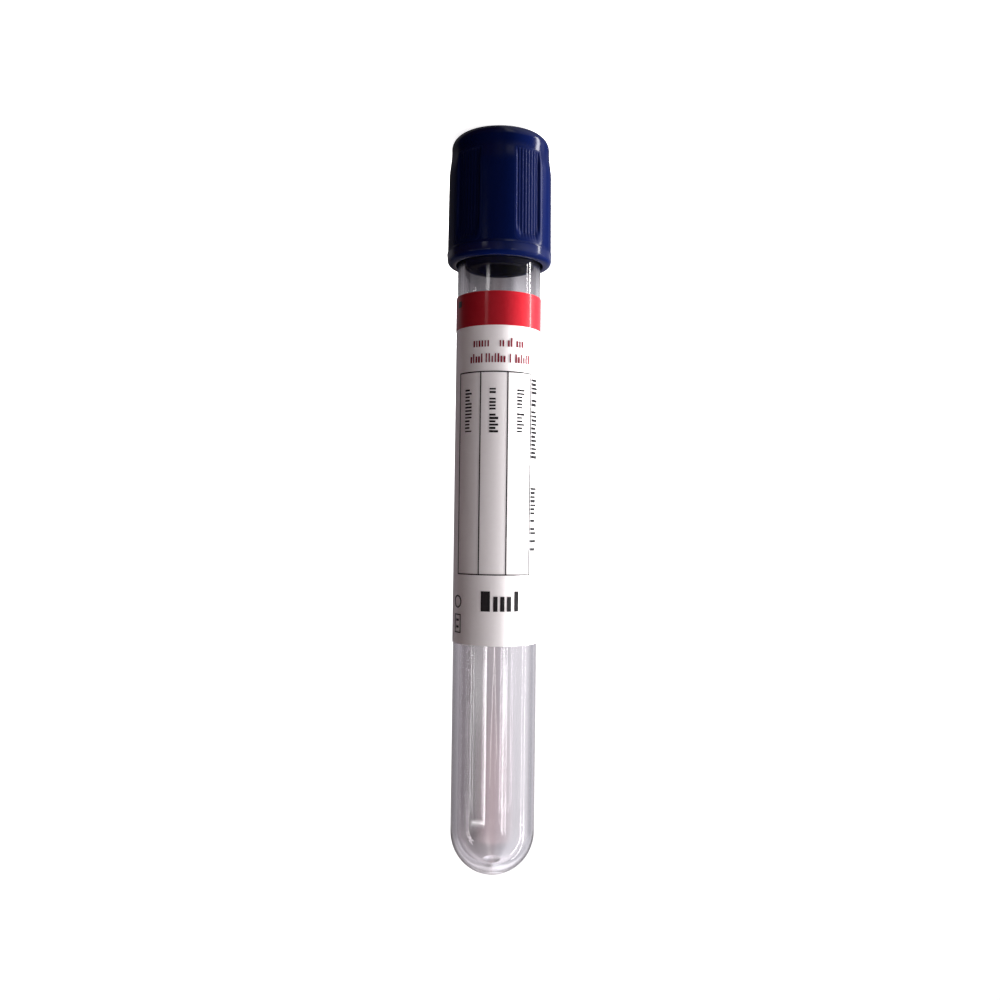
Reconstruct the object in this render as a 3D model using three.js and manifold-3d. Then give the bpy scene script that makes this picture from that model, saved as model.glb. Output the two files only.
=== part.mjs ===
// Evacuated blood collection tube with its closure, standing upside down on the cap's flat top.
// Millimetres, +Z up. The origin is the centre of the cap's flat face, and the tube's round end is up.
// A bearing is an angle in degrees round the axis from the printed front (-Y), growing towards -X. That
// is to the right for someone who holds the tube cap up and reads the label.

import * as THREE from 'three';
import { mergeVertices } from 'three/addons/utils/BufferGeometryUtils.js';
import Module from 'manifold-3d';

const wasm = await Module();
wasm.setup();

// ---------------------------------------------------------------- driving dimensions

// Tube
const tubeRadius = 6.25;
const tubeWall = 1.0;
const tubeLength = 100;
const baseThickness = 1.2;
const gateSpotRadius = 1.6;
const coreTipRadius = 1.3;

// How the closure fits: rubber in the bore and in the shell, and the shell's skirt round the tube
const rubberFit = 0.05;
const skirtClearance = 0.3;

// Stopper
const headHeight = 8.3;
const plugLength = 9.8;
const plugChamfer = 0.6;
const dishRadius = 3;
const dishDepth = 1.2;
const hollowRadius = 3.3;
const hollowDepth = 5;

// Cap shell: walls are measured outwards from the skirt's bore
const capTopThickness = 1.6;
const needleHoleRadius = 3.6;
const topRound = 1.6;
const collarWall = 0.83;
const collarLength = 3.4;
const lipWall = 0.64;
const lipHeight = 1.8;
const rimWall = 1.39;
const rimSlope = 1;
const skirtReach = 9.2;
const skirtFlare = 0.13;

// Smooth pads and ribbed panels round the shell
const padCount = 5;
const padSpan = 39.4;
const padRise = 0.3;
const firstPadBearing = -2.3;
const panelSink = 0.06;
const ribsPerPanel = 7;
const ribHeight = 0.2;
const ribFootShare = 0.7;
const ribCrestShare = 0.2;

// Bead inside the shell that holds the rubber head
const beadDrop = 4.35;
const beadReach = 0.3;
const beadHalfWidth = 0.6;

// Label
const labelDrop = 14.3;
const labelLength = 51.5;
const labelThickness = 0.08;
const seamGap = 2.6;
const glueGap = 0.02;
const labelBearing = 5;

// Print on the label: colour band, record table and plain bars for the words. Each follows the one before.
const inkThickness = 0.04;
const bandLength = 5;
const titleGap = 1.95;
const upperTitle = { length: 1.1, width: 8.7, bearing: 5 };
const lineGap = 1.2;
const lowerTitle = { length: 1.1, width: 9.4, bearing: 4 };
const tableGap = 1.35;
const tableFoot = 10.2;
const columnWidth = 4.05;
const columnCount = 3;
const tableBearing = -4.5;
const ruleWidth = 0.16;
const captionDrop = 2.5;
const captionLength = 6.4;
const captionWidth = 1.2;
const markGap = 2.3;
const volumeMark = { length: 2.9, width: 6.2, bearing: 7.5 };

// Fineness of the round surfaces
const roundSegments = 72;
const domeSteps = 8;
const roundSteps = 4;
const padSteps = 8;

// ---------------------------------------------------------------- sizes that follow

const boreRadius = tubeRadius - tubeWall;
const skirtBore = tubeRadius + skirtClearance;
const stopperTop = capTopThickness + rubberFit;
const headEnd = stopperTop + headHeight;
const mouthHeight = headEnd + rubberFit;
const tipHeight = mouthHeight + tubeLength;
const headRadius = skirtBore - rubberFit;
const plugRadius = boreRadius - rubberFit;
const plugEnd = mouthHeight + plugLength;
const beadHeight = stopperTop + beadDrop;
const beadRadius = skirtBore - beadReach;

const capLength = mouthHeight + skirtReach;
const collarRadius = skirtBore + collarWall;
const panelRadius = collarRadius - panelSink;
const rimRadius = skirtBore + rimWall;
const lipRadius = skirtBore + lipWall;
const rimStart = capLength - lipHeight;
const fluteEnd = rimStart - rimSlope;

const labelInner = tubeRadius + glueGap;
const labelOuter = labelInner + labelThickness;
const inkInner = labelOuter + glueGap;
const inkOuter = inkInner + inkThickness;
const labelStart = mouthHeight + labelDrop;
const labelWidth = 2 * Math.PI * tubeRadius - seamGap;
const upperTitleStart = labelStart + bandLength + titleGap;
const lowerTitleStart = upperTitleStart + upperTitle.length + lineGap;
const tableStart = lowerTitleStart + lowerTitle.length + tableGap;
const tableEnd = labelStart + labelLength - tableFoot;
const volumeMarkStart = tableEnd + markGap;

// ---------------------------------------------------------------- shape helpers

function polar(radius, bearing) {
  const angle = THREE.MathUtils.degToRad(-90 - bearing);
  return new THREE.Vector2(radius * Math.cos(angle), radius * Math.sin(angle));
}

// The bearing that a width covers on the tube's surface.
const bearingSpan = (width) => THREE.MathUtils.radToDeg(width / tubeRadius);

// [radius, height] points on part of an ellipse, from one angle in degrees to another.
function ellipseArc(centre, radii, fromDegrees, toDegrees, steps) {
  return Array.from({ length: steps + 1 }, (_, step) => {
    const angle = THREE.MathUtils.degToRad(fromDegrees + ((toDegrees - fromDegrees) * step) / steps);
    return [centre[0] + radii[0] * Math.cos(angle), centre[1] + radii[1] * Math.sin(angle)];
  });
}

function welded(geometry) {
  geometry.deleteAttribute('normal');
  geometry.deleteAttribute('uv');
  return mergeVertices(geometry, 1e-4);
}

// A body of revolution from an outline of [radius, height] points that keeps the material on its left.
// The outline starts and ends on the axis, or it is a loop that is closed here.
function turned(outline) {
  const onAxis = outline[0][0] === 0;
  const loop = onAxis ? outline : [...outline, outline[0]];
  const points = loop.map(([radius, height]) => new THREE.Vector2(radius, height));
  const geometry = new THREE.LatheGeometry(points, roundSegments);
  geometry.rotateX(Math.PI / 2);
  return welded(geometry);
}

// A curved plate: part of a ring, centred on a bearing.
function curvedPlate(innerRadius, outerRadius, bearing, span, start, length) {
  const steps = Math.max(2, Math.ceil((span / 360) * roundSegments));
  const bearings = Array.from({ length: steps + 1 }, (_, step) => bearing - span / 2 + (span * step) / steps);
  const outside = bearings.map((each) => polar(outerRadius, each));
  const inside = bearings.map((each) => polar(innerRadius, each)).reverse();
  const shape = new THREE.Shape([...outside, ...inside]);
  const geometry = new THREE.ExtrudeGeometry(shape, { depth: length, bevelEnabled: false });
  geometry.translate(0, 0, start);
  return welded(geometry);
}

function toSolid(geometry) {
  const vertProperties = geometry.getAttribute('position').array;
  const triVerts = new Uint32Array(geometry.getIndex().array);
  return new wasm.Manifold(new wasm.Mesh({ numProp: 3, vertProperties, triVerts }));
}

function joined(geometries) {
  const solid = geometries.map(toSolid).reduce((whole, next) => whole.add(next));
  const mesh = solid.getMesh();
  const geometry = new THREE.BufferGeometry();
  geometry.setAttribute('position', new THREE.BufferAttribute(new Float32Array(mesh.vertProperties), 3));
  geometry.setIndex(new THREE.BufferAttribute(new Uint32Array(mesh.triVerts), 1));
  return geometry;
}

// ---------------------------------------------------------------- tube

// The outline of a dome that ends in a small flat, from its foot up to the flat's edge.
function dome(radius, flatRadius, flatHeight) {
  const centre = flatHeight - Math.sqrt(radius ** 2 - flatRadius ** 2);
  const flatAngle = THREE.MathUtils.radToDeg(Math.acos(flatRadius / radius));
  return ellipseArc([0, centre], [radius, radius], 0, flatAngle, domeSteps);
}

function tubeGeometry() {
  const lipRound = tubeWall / 2;
  const lip = ellipseArc(
    [boreRadius + lipRound, mouthHeight + lipRound], [lipRound, lipRound], 180, 360, 2 * roundSteps,
  );
  const innerTip = tipHeight - baseThickness;
  return turned([
    [0, innerTip],
    ...dome(boreRadius, coreTipRadius, innerTip).reverse(),
    ...lip,
    ...dome(tubeRadius, gateSpotRadius, tipHeight),
    [0, tipHeight],
  ]);
}

// ---------------------------------------------------------------- stopper

function stopperGeometry() {
  const grooveRadius = beadRadius - rubberFit;
  const grooveStart = beadHeight - beadHalfWidth - rubberFit;
  const grooveEnd = beadHeight + beadHalfWidth + rubberFit;
  return turned([
    [0, stopperTop + dishDepth],
    [dishRadius, stopperTop + dishDepth],
    [dishRadius, stopperTop],
    [headRadius, stopperTop],
    [headRadius, grooveStart],
    [grooveRadius, grooveStart],
    [grooveRadius, grooveEnd],
    [headRadius, grooveEnd],
    [headRadius, headEnd],
    [plugRadius, headEnd],
    [plugRadius, plugEnd - plugChamfer],
    [plugRadius - plugChamfer, plugEnd],
    [hollowRadius, plugEnd],
    [hollowRadius, plugEnd - hollowDepth],
    [0, plugEnd - hollowDepth],
  ]);
}

// ---------------------------------------------------------------- cap

// The radius halfway through the collar's wall, where the shell and the fluted ring run into each other.
const buriedRadius = (skirtBore + panelRadius) / 2;

function shellGeometry() {
  const edgeCentre = [collarRadius - topRound, topRound];
  const lipSize = [rimRadius - lipRadius, lipHeight];
  return turned([
    [needleHoleRadius, 0],
    ...ellipseArc(edgeCentre, [topRound, topRound], 270, 360, roundSteps),
    [collarRadius, collarLength],
    [buriedRadius, collarLength + collarRadius - buriedRadius],
    [buriedRadius, fluteEnd],
    ...ellipseArc([lipRadius, rimStart], lipSize, 0, 90, roundSteps),
    [skirtBore, capLength],
    [skirtBore, beadHeight + beadHalfWidth],
    [beadRadius, beadHeight + beadHalfWidth / 2],
    [beadRadius, beadHeight - beadHalfWidth / 2],
    [skirtBore, beadHeight - beadHalfWidth],
    [skirtBore, capTopThickness],
    [needleHoleRadius, capTopThickness],
  ]);
}

// One smooth pad and the ribbed panel after it, as points in a plane across the axis.
function padAndPanel(padBearing) {
  const panelSpan = 360 / padCount - padSpan;
  const ribPitch = panelSpan / (ribsPerPanel + 1);
  const foot = (ribPitch * ribFootShare) / 2;
  const crest = (ribPitch * ribCrestShare) / 2;
  const panelStart = padBearing + padSpan / 2;
  const points = [];
  for (let step = 0; step <= padSteps; step += 1) {
    points.push(polar(collarRadius + padRise, padBearing + padSpan * (step / padSteps - 0.5)));
  }
  points.push(polar(panelRadius, panelStart + foot));
  for (let rib = 1; rib <= ribsPerPanel; rib += 1) {
    const ribBearing = panelStart + rib * ribPitch;
    points.push(polar(panelRadius, ribBearing - foot));
    points.push(polar(panelRadius + ribHeight, ribBearing - crest));
    points.push(polar(panelRadius + ribHeight, ribBearing + crest));
    points.push(polar(panelRadius, ribBearing + foot));
  }
  points.push(polar(panelRadius, panelStart + panelSpan - foot));
  return points;
}

// The ring of pads and panels. It flares towards the rim, and its inner edge is buried in the shell.
function flutedGeometry() {
  const outline = [];
  for (let pad = 0; pad < padCount; pad += 1) {
    outline.push(...padAndPanel(firstPadBearing + (pad * 360) / padCount));
  }
  const shape = new THREE.Shape(outline.reverse());
  const innerEdge = (skirtBore + buriedRadius) / 2;
  shape.holes.push(new THREE.Path().absarc(0, 0, innerEdge, 0, 2 * Math.PI, true));
  const length = rimStart - collarLength;
  const settings = { depth: length, bevelEnabled: false, curveSegments: roundSegments / 2 };
  const geometry = new THREE.ExtrudeGeometry(shape, settings);
  const position = geometry.getAttribute('position');
  for (let index = 0; index < position.count; index += 1) {
    const flare = 1 + (skirtFlare / collarRadius) * (position.getZ(index) / length);
    position.setXY(index, position.getX(index) * flare, position.getY(index) * flare);
  }
  geometry.translate(0, 0, collarLength);
  return welded(geometry);
}

// ---------------------------------------------------------------- label and print

// A field of ink on the label, from where it starts, its length along the axis and its width round it.
function ink(start, length, width, bearing) {
  return curvedPlate(inkInner, inkOuter, bearing, bearingSpan(width), start, length);
}

const inkBar = (start, { length, width, bearing }) => ink(start, length, width, bearing);

// The bearing of a place in the table, counted in columns from the table's middle.
const tablePlace = (columns) => tableBearing + bearingSpan(columns * columnWidth);

function gridGeometry() {
  const ruleLength = columnWidth * columnCount + ruleWidth;
  const lastRule = tableEnd - ruleWidth;
  const tableLength = tableEnd - tableStart;
  const rules = [tableStart, lastRule].map((start) => ink(start, ruleWidth, ruleLength, tableBearing));
  for (let line = 0; line <= columnCount; line += 1) {
    rules.push(ink(tableStart, tableLength, ruleWidth, tablePlace(line - columnCount / 2)));
  }
  return joined(rules);
}

function captionGeometry(column) {
  const bearing = tablePlace(column - (columnCount - 1) / 2);
  return ink(tableStart + captionDrop, captionLength, captionWidth, bearing);
}

// ---------------------------------------------------------------- the object

const bloodTube = new THREE.Group();

function addPiece(name, geometry, look) {
  geometry.computeVertexNormals();
  const material = new THREE.MeshStandardMaterial({ metalness: 0, ...look });
  const mesh = new THREE.Mesh(geometry, material);
  mesh.name = name;
  bloodTube.add(mesh);
}

const clearPlastic = { color: '#d9dbe2', roughness: 0.12, transparent: true, opacity: 0.35 };
const rubber = { color: '#2b2e33', roughness: 0.75 };
const navyPlastic = { color: '#14204f', roughness: 0.3 };
const labelFilm = { color: '#f4f1f2', roughness: 0.35 };
const redInk = { color: '#cf1a24', roughness: 0.35 };
const darkRedInk = { color: '#7d1a26', roughness: 0.4 };
const blackInk = { color: '#15141a', roughness: 0.4 };

addPiece('tube', tubeGeometry(), clearPlastic);
addPiece('stopper', stopperGeometry(), rubber);
addPiece('cap', joined([shellGeometry(), flutedGeometry()]), navyPlastic);
addPiece(
  'label',
  curvedPlate(labelInner, labelOuter, labelBearing, bearingSpan(labelWidth), labelStart, labelLength),
  labelFilm,
);
addPiece('print_red_band', ink(labelStart, bandLength, labelWidth, labelBearing), redInk);
addPiece('print_record_grid', gridGeometry(), blackInk);
addPiece('print_title_upper', inkBar(upperTitleStart, upperTitle), darkRedInk);
addPiece('print_title_lower', inkBar(lowerTitleStart, lowerTitle), darkRedInk);
addPiece('print_volume_mark', inkBar(volumeMarkStart, volumeMark), blackInk);
for (let column = 0; column < columnCount; column += 1) {
  addPiece(`print_caption_${column + 1}`, captionGeometry(column), blackInk);
}

export default bloodTube;
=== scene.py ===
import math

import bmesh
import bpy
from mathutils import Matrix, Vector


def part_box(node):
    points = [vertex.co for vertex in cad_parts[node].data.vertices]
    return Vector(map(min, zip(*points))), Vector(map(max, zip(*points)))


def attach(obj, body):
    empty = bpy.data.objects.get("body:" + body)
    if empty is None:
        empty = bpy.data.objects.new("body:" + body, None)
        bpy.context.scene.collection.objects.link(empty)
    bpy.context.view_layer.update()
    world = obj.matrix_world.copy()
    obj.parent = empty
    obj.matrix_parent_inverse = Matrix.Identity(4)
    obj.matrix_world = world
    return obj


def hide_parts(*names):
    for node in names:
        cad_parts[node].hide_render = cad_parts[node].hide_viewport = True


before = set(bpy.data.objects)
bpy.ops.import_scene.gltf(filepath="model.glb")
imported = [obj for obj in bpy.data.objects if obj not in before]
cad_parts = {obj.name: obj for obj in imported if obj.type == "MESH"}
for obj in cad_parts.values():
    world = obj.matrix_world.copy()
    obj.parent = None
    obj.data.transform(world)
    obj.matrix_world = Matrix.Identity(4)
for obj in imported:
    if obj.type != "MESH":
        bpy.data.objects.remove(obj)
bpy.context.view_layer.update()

# Evacuated blood collection tube, standing upside down on the flat top of its cap.
# Metres, +Z up: the cap is at the floor and the tube's round end is at the top. A bearing is an angle
# round the axis from the printed front (-Y), growing towards -X. The part's sizes are in millimetres and
# become metres where a mesh or a modifier takes them. The studio's sizes are in metres.

MM = 0.001


# ---------------------------------------------------------------- sizes, in millimetres

def node_span(node):
    """Lowest height, highest height and outer radius of a CAD node, in millimetres."""
    low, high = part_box(node)
    return low.z / MM, high.z / MM, max(high.x, high.y, -low.x, -low.y) / MM


def node_middle(node):
    """Bearing in radians and height in millimetres of the middle of a CAD node."""
    low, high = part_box(node)
    middle = (low + high) / 2
    return math.atan2(-middle.x, -middle.y), middle.z / MM


MOUTH, TIP, TUBE_RADIUS = node_span("tube")
TUBE_WALL = 1.0
BORE_RADIUS = TUBE_RADIUS - TUBE_WALL
BASE_THICKNESS = 1.2
GATE_RADIUS = 1.6
CORE_TIP_RADIUS = 1.3
CORE_MARK_DEPTH = 0.03
CORE_MARK_SLOPE = 0.12

STOPPER_TOP, PLUG_END, HEAD_RADIUS = node_span("stopper")
RUBBER_FIT = 0.05
PLUG_RADIUS = BORE_RADIUS - RUBBER_FIT
HEAD_END = MOUTH - RUBBER_FIT
PLUG_CHAMFER = 0.6
DISH_RADIUS = 3.0
DISH_DEPTH = 1.2
HOLLOW_RADIUS = 3.3
HOLLOW_DEPTH = 5.0

CAP_TOP, CAP_LENGTH, RIM_RADIUS = node_span("cap")
SKIRT_BORE = 6.55
COLLAR_RADIUS = 7.38
PANEL_RADIUS = 7.36
TOP_THICKNESS = 1.6
NEEDLE_HOLE = 3.6
TOP_ROUND = 1.6
COLLAR_LENGTH = 3.4
LIP_HEIGHT = 1.8
RIM_START = CAP_LENGTH - LIP_HEIGHT
FLARE = 0.13
BEAD_HEIGHT = 6.0
BEAD_REACH = 0.3
BEAD_HALF_WIDTH = 0.6

PAD_COUNT = 5
PAD_SPAN = 39.4
PAD_RISE = 0.32
PAD_RAMP_START = 2.2
PAD_RAMP_END = 5.8
PANEL_END = 17.1
FIRST_PAD = -2.3
RIBS_PER_PANEL = 7
RIB_HEIGHT = 0.06
RIB_PITCH = (360 / PAD_COUNT - PAD_SPAN) / (RIBS_PER_PANEL + 1)
PANEL_ATTRIBUTE = "sunk_panel"
# Radii in millimetres over which the painted sheen on the cap's raised faces fades in.
SHEEN_FROM, SHEEN_TO = 7.45, 7.8
RIM_DULL_FROM, RIM_DULL_TO = 18.2, 18.9

LABEL_START, LABEL_END, LABEL_RADIUS = node_span("label")
LABEL_THICKNESS = 0.08
LABEL_BEARING = math.radians(5)
SEAM_GAP = 2.6
LABEL_WIDTH = 2 * math.pi * TUBE_RADIUS - SEAM_GAP
INK_LIFT = 0.02
INK_THICKNESS = 0.04
INK_RADIUS = LABEL_RADIUS + INK_LIFT + INK_THICKNESS / 2
TABLE_BEARING = math.radians(-4.5)
COLUMN_WIDTH = 4.05
RULE_WIDTH = 0.16
SIDE_MARKS_BEARING = math.radians(59)
SIGN_BEARING = math.radians(-59)


# ---------------------------------------------------------------- node helpers

def add_node(tree, kind, **settings):
    node = tree.nodes.new(kind)
    for key, value in settings.items():
        setattr(node, key, value)
    return node


def feed(tree, socket, value):
    """Links a socket to another, or sets it to a plain value."""
    if isinstance(value, bpy.types.NodeSocket):
        tree.links.new(value, socket)
    else:
        socket.default_value = value


def calc(tree, operation, *values):
    """A Math node on these values; its result."""
    node = add_node(tree, "ShaderNodeMath", operation=operation)
    for socket, value in zip(node.inputs, values):
        feed(tree, socket, value)
    return node.outputs[0]


def diagonal(tree, x, y):
    """Length of the diagonal over two sides."""
    return calc(tree, "SQRT", calc(tree, "ADD", calc(tree, "MULTIPLY", x, x), calc(tree, "MULTIPLY", y, y)))


def eased(tree, value, low, high, to_low=0.0, to_high=1.0):
    """Goes smoothly from to_low to to_high while the value goes from low to high."""
    node = add_node(tree, "ShaderNodeMapRange", interpolation_type="SMOOTHSTEP", clamp=True)
    given = {"Value": value, "From Min": low, "From Max": high, "To Min": to_low, "To Max": to_high}
    for name, each in given.items():
        feed(tree, node.inputs[name], each)
    return node.outputs["Result"]


def split(tree, vector):
    node = add_node(tree, "ShaderNodeSeparateXYZ")
    tree.links.new(vector, node.inputs[0])
    return node.outputs


def noise(tree, coordinates, scale, detail=2.0, stretch=(1, 1, 1)):
    """A noise value whose grain can be stretched along an axis."""
    mapping = add_node(tree, "ShaderNodeMapping")
    tree.links.new(coordinates, mapping.inputs["Vector"])
    mapping.inputs["Scale"].default_value = stretch
    texture = add_node(tree, "ShaderNodeTexNoise")
    tree.links.new(mapping.outputs["Vector"], texture.inputs["Vector"])
    texture.inputs["Scale"].default_value = scale
    texture.inputs["Detail"].default_value = detail
    return texture.outputs["Fac"]


def bumped(tree, height, distance):
    node = add_node(tree, "ShaderNodeBump")
    tree.links.new(height, node.inputs["Height"])
    node.inputs["Distance"].default_value = distance
    return node.outputs["Normal"]


def blended(tree, factor, first, second):
    """A colour between two colours."""
    node = add_node(tree, "ShaderNodeMix", data_type="RGBA")
    feed(tree, node.inputs["Factor"], factor)
    feed(tree, node.inputs["A"], (*first, 1))
    feed(tree, node.inputs["B"], (*second, 1))
    return node.outputs["Result"]


def new_material(name, **settings):
    """A Principled material; returns it with its tree, its shader and the piece's own coordinates."""
    material = bpy.data.materials.new(name)
    material.use_nodes = True
    tree = material.node_tree
    shader = tree.nodes["Principled BSDF"]
    for key, value in settings.items():
        shader.inputs[key].default_value = value
    coordinates = add_node(tree, "ShaderNodeTexCoord").outputs["Object"]
    return material, tree, shader, coordinates


# ---------------------------------------------------------------- materials

def clear_plastic():
    """Clear moulded PET with the faint waves of the mould and a slight haze."""
    material, tree, shader, place = new_material(
        "clear_plastic",
        **{"Base Color": (0.965, 0.945, 0.965, 1), "Transmission Weight": 0.997, "IOR": 1.57},
    )
    waves = noise(tree, place, 260, 0.0, (1, 1, 0.16))
    tree.links.new(bumped(tree, waves, 0.0000003), shader.inputs["Normal"])
    haze = noise(tree, place, 120, 1.0)
    feed(tree, shader.inputs["Roughness"], eased(tree, haze, 0.3, 0.7, 0.008, 0.012))
    return material


def navy_plastic():
    """Glossy injection-moulded cap plastic: a painted sheen makes the raised pads and rib crests lighter in
    patches, and the sunk panels are duller.
    """
    material, tree, shader, place = new_material("navy_plastic", IOR=1.45)
    x, y, z = split(tree, place)
    # Painted sheen: the faces furthest out, the raised pads and rib crests, turn a lighter blue in noisy
    # patches to stand in for the light they catch.
    raised_faces = eased(tree, diagonal(tree, x, y), SHEEN_FROM * MM, SHEEN_TO * MM)
    painted_sheen = calc(tree, "MULTIPLY", raised_faces, noise(tree, place, 900, 4.0))
    flow = noise(tree, place, 220, 2.0, (1, 1, 0.35))
    shade = calc(tree, "ADD", calc(tree, "MULTIPLY", flow, 0.6), calc(tree, "MULTIPLY", painted_sheen, 0.5))
    # The lighter colour serves both the random tone of the plastic and the painted sheen.
    deep, light_tone_and_sheen = (0.0006, 0.0027, 0.026), (0.0013, 0.0050, 0.043)
    feed(tree, shader.inputs["Base Color"], blended(tree, shade, deep, light_tone_and_sheen))
    scuffs = noise(tree, place, 260, 2.0, (1, 1, 0.3))
    polish = eased(tree, scuffs, 0.3, 0.7, 0.13, 0.16)
    sunk = add_node(tree, "ShaderNodeAttribute", attribute_name=PANEL_ATTRIBUTE).outputs["Fac"]
    feed(tree, shader.inputs["Roughness"], calc(tree, "ADD", polish, calc(tree, "MULTIPLY", sunk, 0.22)))
    towards_rim = eased(tree, z, RIM_DULL_FROM * MM, RIM_DULL_TO * MM, 0.4, 0.04)
    outside_panels = calc(tree, "SUBTRACT", 1.0, calc(tree, "MULTIPLY", sunk, 0.70))
    feed(tree, shader.inputs["Specular IOR Level"], calc(tree, "MULTIPLY", towards_rim, outside_panels))
    waves = noise(tree, place, 300, 0.0, (1, 1, 0.3))
    tree.links.new(bumped(tree, waves, 0.0000004), shader.inputs["Normal"])
    return material


def stopper_rubber():
    """Dark blue butyl rubber with a fine moulded grain."""
    material, tree, shader, place = new_material("stopper_rubber", **{"IOR": 1.4, "Specular IOR Level": 0.02})
    bloom = noise(tree, place, 700, 4.0)
    deep, bloomed = (0.0030, 0.0045, 0.028), (0.0045, 0.0065, 0.040)
    feed(tree, shader.inputs["Base Color"], blended(tree, bloom, deep, bloomed))
    feed(tree, shader.inputs["Roughness"], eased(tree, bloom, 0.3, 0.7, 0.5, 0.68))
    tree.links.new(bumped(tree, noise(tree, place, 4200, 3.0), 0.000002), shader.inputs["Normal"])
    return material


def printed_film(name, light, dark, grain=1600):
    """Glossy label film or ink on it: a slight mottle, and the waves of a film pressed on a round wall."""
    material, tree, shader, place = new_material(name, **{
        "IOR": 1.45, "Coat Weight": 0.3, "Coat Roughness": 0.05, "Specular IOR Level": 0.25})
    mottle = noise(tree, place, grain, 4.0)
    tree.links.new(blended(tree, mottle, dark, light), shader.inputs["Base Color"])
    feed(tree, shader.inputs["Roughness"], eased(tree, mottle, 0.3, 0.7, 0.28, 0.38))
    waves = noise(tree, place, 330, 0.0, (1, 1, 0.45))
    tree.links.new(bumped(tree, waves, 0.000002), shader.inputs["Normal"])
    return material


MATERIALS = {
    "clear_plastic": clear_plastic(),
    "navy_plastic": navy_plastic(),
    "stopper_rubber": stopper_rubber(),
    "label_film": printed_film("label_film", (0.86, 0.84, 0.845), (0.82, 0.795, 0.80)),
    "red_ink": printed_film("red_ink", (0.38, 0.010, 0.019), (0.335, 0.007, 0.015)),
    "dark_red_ink": printed_film("dark_red_ink", (0.20, 0.012, 0.030), (0.15, 0.008, 0.022)),
    "black_ink": printed_film("black_ink", (0.006, 0.0055, 0.007), (0.004, 0.0035, 0.0045)),
}


# ---------------------------------------------------------------- mesh helpers

def new_piece(name, mesh):
    piece = bpy.data.objects.new(name, mesh)
    bpy.context.scene.collection.objects.link(piece)
    return piece


def rounded(corners, steps=6):
    """Outline points in millimetres from (radius, height, rounding) corners, with an arc at each."""
    outline = []
    for index, (radius, height, rounding) in enumerate(corners):
        here = Vector((radius, height))
        if rounding == 0 or index in (0, len(corners) - 1):
            outline.append(here)
            continue
        before = (Vector(corners[index - 1][:2]) - here).normalized()
        after = (Vector(corners[index + 1][:2]) - here).normalized()
        half = before.angle(after) / 2
        reach = rounding / math.tan(half)
        centre = here + (before + after).normalized() * (rounding / math.sin(half))
        start, end = here + before * reach - centre, here + after * reach - centre
        first = math.atan2(start.y, start.x)
        turn = math.remainder(math.atan2(end.y, end.x) - first, 2 * math.pi)
        for step in range(steps + 1):
            angle = first + turn * step / steps
            outline.append(centre + rounding * Vector((math.cos(angle), math.sin(angle))))
    return outline


def dome(radius, flat_radius, flat_height, steps=26):
    """Outline of a round end with a small flat, from its foot up to the flat's edge."""
    centre = flat_height - math.sqrt(radius ** 2 - flat_radius ** 2)
    last = math.acos(flat_radius / radius)
    return [Vector((radius * math.cos(last * step / steps), centre + radius * math.sin(last * step / steps)))
            for step in range(steps + 1)]


def divided(start, end, steps):
    """Evenly spaced points between two outline points, without its ends."""
    return [start.lerp(end, step / steps) for step in range(1, steps)]


def even_bearings(count):
    return [360 * step / count for step in range(count)]


def closed_mesh(name, shape):
    """A mesh of a finished shape, with its faces turned outwards."""
    bmesh.ops.recalc_face_normals(shape, faces=shape.faces)
    mesh = bpy.data.meshes.new(name)
    shape.to_mesh(mesh)
    shape.free()
    return mesh


def turned(name, outline, bearings):
    """A body of revolution through these bearings in degrees. The outline keeps its material on the left
    and either starts and ends on the axis or is a closed loop."""
    shape = bmesh.new()
    rings = []
    for radius, height in outline:
        if radius < 1e-6:
            rings.append([shape.verts.new((0, 0, height * MM))] * len(bearings))
            continue
        rings.append([shape.verts.new((-radius * math.sin(math.radians(each)) * MM,
                                       -radius * math.cos(math.radians(each)) * MM, height * MM))
                      for each in bearings])
    on_axis = outline[0][0] < 1e-6
    pairs = list(zip(rings, rings[1:])) + ([] if on_axis else [(rings[-1], rings[0])])
    for low, high in pairs:
        for side in range(len(bearings)):
            following = (side + 1) % len(bearings)
            corners = [low[side], high[side], high[following], low[following]]
            unique = list(dict.fromkeys(corners))
            if len(unique) > 2:
                shape.faces.new(unique)
    mesh = closed_mesh(name, shape)
    mesh.shade_smooth()
    return mesh


# ---------------------------------------------------------------- geometry node helpers

def new_tree(name, sizes):
    """A geometry tree with a number input for each named size; returns it with its inputs and its output."""
    tree = bpy.data.node_groups.new(name, "GeometryNodeTree")
    tree.interface.new_socket("Geometry", in_out="INPUT", socket_type="NodeSocketGeometry")
    tree.interface.new_socket("Geometry", in_out="OUTPUT", socket_type="NodeSocketGeometry")
    for size, value in sizes.items():
        kind = "NodeSocketInt" if isinstance(value, int) else "NodeSocketFloat"
        tree.interface.new_socket(size, in_out="INPUT", socket_type=kind).default_value = value
    tree.interface.new_socket("Material", in_out="INPUT", socket_type="NodeSocketMaterial")
    given = add_node(tree, "NodeGroupInput").outputs
    return tree, given, add_node(tree, "NodeGroupOutput").inputs[0]


def pipe(tree, kind, source, **inputs):
    """A geometry node fed by a geometry socket; returns the node's first output."""
    node = add_node(tree, kind)
    if source:
        tree.links.new(source, node.inputs[0])
    for name, value in inputs.items():
        feed(tree, node.inputs[name.replace("_", " ")], value)
    return node.outputs[0]


def vector_of(tree, x, y, z):
    node = add_node(tree, "ShaderNodeCombineXYZ")
    for socket, value in zip(node.inputs, (x, y, z)):
        feed(tree, socket, value)
    return node.outputs[0]


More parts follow.
